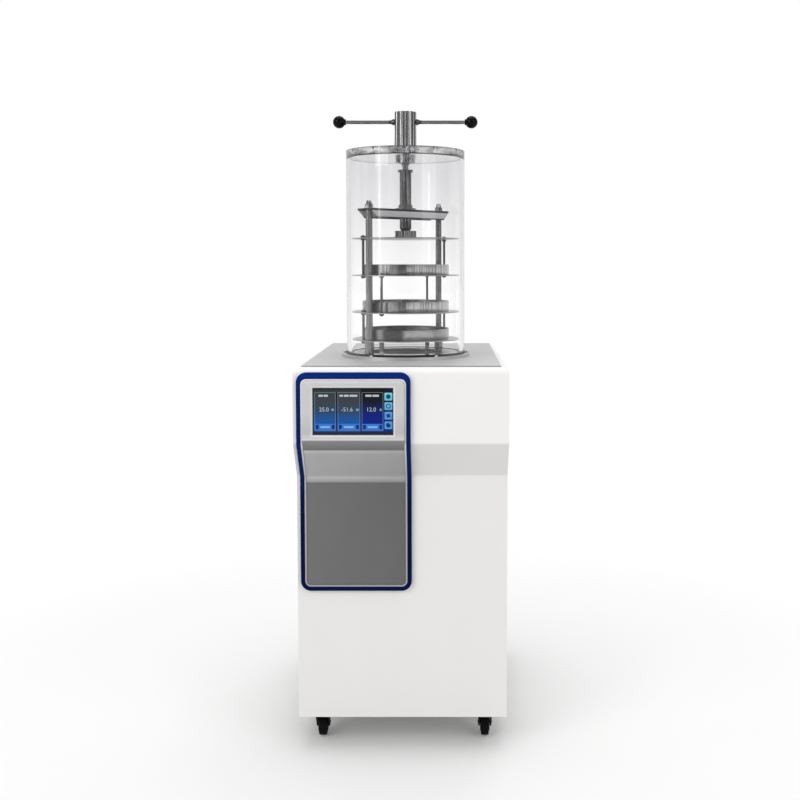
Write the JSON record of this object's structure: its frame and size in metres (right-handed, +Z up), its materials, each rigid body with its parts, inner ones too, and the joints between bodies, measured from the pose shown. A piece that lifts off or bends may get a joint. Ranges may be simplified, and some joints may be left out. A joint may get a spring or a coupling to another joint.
{
  "type": "freeze dryer",
  "caption": "Floor-standing laboratory freeze dryer with a touch-screen console, a clear bell jar over a shelf rack, a hand screw press for closing vials, and swivel casters.",
  "frame": {"origin": "on the floor, at the middle of the bounding box's footprint", "axes": "+Z is up, -Y is the front with the control panel, +X is the right-hand side seen from the front"},
  "size_m": [0.4, 0.644, 1.2413],
  "materials": {
    "cabinet_white": "satin",
    "deck_steel": "satin",
    "rack_steel": "satin",
    "bright_steel": "satin",
    "panel_light": "satin",
    "panel_grey": "satin",
    "trim_blue": "gloss",
    "bead_silver": "satin",
    "screen_black": "gloss",
    "clear_acrylic": "clear",
    "gasket_black": "matte",
    "coil_copper": "satin",
    "compressor_black": "gloss",
    "fin_aluminium": "satin",
    "zinc_plate": "satin",
    "black_plastic": "satin",
    "knob_black": "gloss",
    "tyre_black": "matte",
    "lever_red": "satin"
  },
  "bodies": {
    "cabinet": {"base_pan": "zinc_plate", "front_cover": "cabinet_white", "side_panel_left": "cabinet_white", "side_panel_right": "cabinet_white", "rear_panel": "cabinet_white", "top_deck": "deck_steel", "chamber_ring": "bright_steel", "chamber_gasket": "gasket_black", "ring_screws": "bright_steel", "cold_trap": "bright_steel", "trap_coil": "coil_copper", "compressor": "compressor_black", "condenser_block": "fin_aluminium", "fan_motor": "black_plastic", "display_panel": "panel_light", "lower_panel": "panel_grey", "panel_trim": "trim_blue", "panel_bead": "bead_silver", "touch_screen": "screen_black", "control_box": "zinc_plate", "vacuum_port": "bright_steel", "drain_valve": "bright_steel", "power_inlet": "black_plastic", "rack_base": "rack_steel", "guide_posts": "rack_steel", "post_nuts": "bright_steel", "yoke": "rack_steel", "spindle_nut": "rack_steel", "shelf_4": "rack_steel", "sample_tray_4": "rack_steel", "bell_jar": "clear_acrylic", "jar_lid": "clear_acrylic", "lid_gland": "bright_steel", "gland_nut": "bright_steel", "caster_plates": "zinc_plate"},
    "handle": {"handle_hub": "bright_steel", "handle_bar": "bright_steel", "ball_knobs": "knob_black", "drive_rod": "bright_steel"},
    "press_shelf": {"shelf_1": "rack_steel", "thrust_foot": "bright_steel", "hanger_rods_1": "rack_steel"},
    "press_spindle": {"spindle": "rack_steel"},
    "second_shelf": {"shelf_2": "rack_steel", "sample_tray_2": "rack_steel", "hanger_rods_2": "rack_steel"},
    "third_shelf": {"shelf_3": "rack_steel", "sample_tray_3": "rack_steel", "hanger_rods_3": "rack_steel"},
    "fan": {"fan_rotor": "black_plastic"},
    "valve_lever": {"drain_lever": "lever_red"},
    "rocker": {"power_switch": "black_plastic"},
    "caster_fl": {"caster_fork_fl": "black_plastic"},
    "wheel_fl": {"caster_wheel_fl": "tyre_black"},
    "caster_fr": {"caster_fork_fr": "black_plastic"},
    "wheel_fr": {"caster_wheel_fr": "tyre_black"},
    "caster_bl": {"caster_fork_bl": "black_plastic"},
    "wheel_bl": {"caster_wheel_bl": "tyre_black"},
    "caster_br": {"caster_fork_br": "black_plastic"},
    "wheel_br": {"caster_wheel_br": "tyre_black"}
  },
  "joints": [
    {"name": "handle_turn", "type": "hinge", "parent": "cabinet", "child": "handle", "pos_m": [0, -0.056, 1.1653], "axis": [0, 0, -1], "range_deg": [0, 2592.5]},
    {"name": "press_slide", "type": "slide", "parent": "cabinet", "child": "press_shelf", "axis": [0, 0, -1], "range_m": [0, 0.036]},
    {"name": "spindle_turn", "type": "hinge", "parent": "press_shelf", "child": "press_spindle", "pos_m": [0, -0.056, 1], "axis": [0, 0, -1], "range_deg": [0, 2592.5]},
    {"name": "second_shelf_slide", "type": "slide", "parent": "cabinet", "child": "second_shelf", "axis": [0, 0, -1], "range_m": [0, 0.0241]},
    {"name": "third_shelf_slide", "type": "slide", "parent": "cabinet", "child": "third_shelf", "axis": [0, 0, -1], "range_m": [0, 0.0121]},
    {"name": "fan_spin", "type": "hinge", "parent": "cabinet", "child": "fan", "pos_m": [0, 0.1725, 0.211], "axis": [0, 1, 0], "continuous": true},
    {"name": "drain_lever_turn", "type": "hinge", "parent": "cabinet", "child": "valve_lever", "pos_m": [0, 0.294, 0.488], "axis": [0, 0, 1], "range_deg": [0, 90]},
    {"name": "power_rocker", "type": "hinge", "parent": "cabinet", "child": "rocker", "pos_m": [0.118, 0.284, 0.458], "axis": [1, 0, 0], "range_deg": [0, 14]},
    {"name": "caster_swivel_fl", "type": "hinge", "parent": "cabinet", "child": "caster_fl", "pos_m": [-0.16, -0.208, 0.059], "axis": [0, 0, 1], "continuous": true},
    {"name": "wheel_roll_fl", "type": "hinge", "parent": "caster_fl", "child": "wheel_fl", "pos_m": [-0.16, -0.19, 0.025], "axis": [1, 0, 0], "continuous": true},
    {"name": "caster_swivel_fr", "type": "hinge", "parent": "cabinet", "child": "caster_fr", "pos_m": [0.16, -0.208, 0.059], "axis": [0, 0, 1], "continuous": true},
    {"name": "wheel_roll_fr", "type": "hinge", "parent": "caster_fr", "child": "wheel_fr", "pos_m": [0.16, -0.19, 0.025], "axis": [1, 0, 0], "continuous": true},
    {"name": "caster_swivel_bl", "type": "hinge", "parent": "cabinet", "child": "caster_bl", "pos_m": [-0.16, 0.222, 0.059], "axis": [0, 0, 1], "continuous": true},
    {"name": "wheel_roll_bl", "type": "hinge", "parent": "caster_bl", "child": "wheel_bl", "pos_m": [-0.16, 0.24, 0.025], "axis": [1, 0, 0], "continuous": true},
    {"name": "caster_swivel_br", "type": "hinge", "parent": "cabinet", "child": "caster_br", "pos_m": [0.16, 0.222, 0.059], "axis": [0, 0, 1], "continuous": true},
    {"name": "wheel_roll_br", "type": "hinge", "parent": "caster_br", "child": "wheel_br", "pos_m": [0.16, 0.24, 0.025], "axis": [1, 0, 0], "continuous": true}
  ],
  "couplings": [
    {"joint": "handle_turn", "follows": "press_slide", "rad_per_m": 1256.6},
    {"joint": "spindle_turn", "follows": "press_slide", "rad_per_m": 1256.6},
    {"joint": "second_shelf_slide", "follows": "press_slide", "ratio": 0.66667},
    {"joint": "third_shelf_slide", "follows": "press_slide", "ratio": 0.33333}
  ]
}
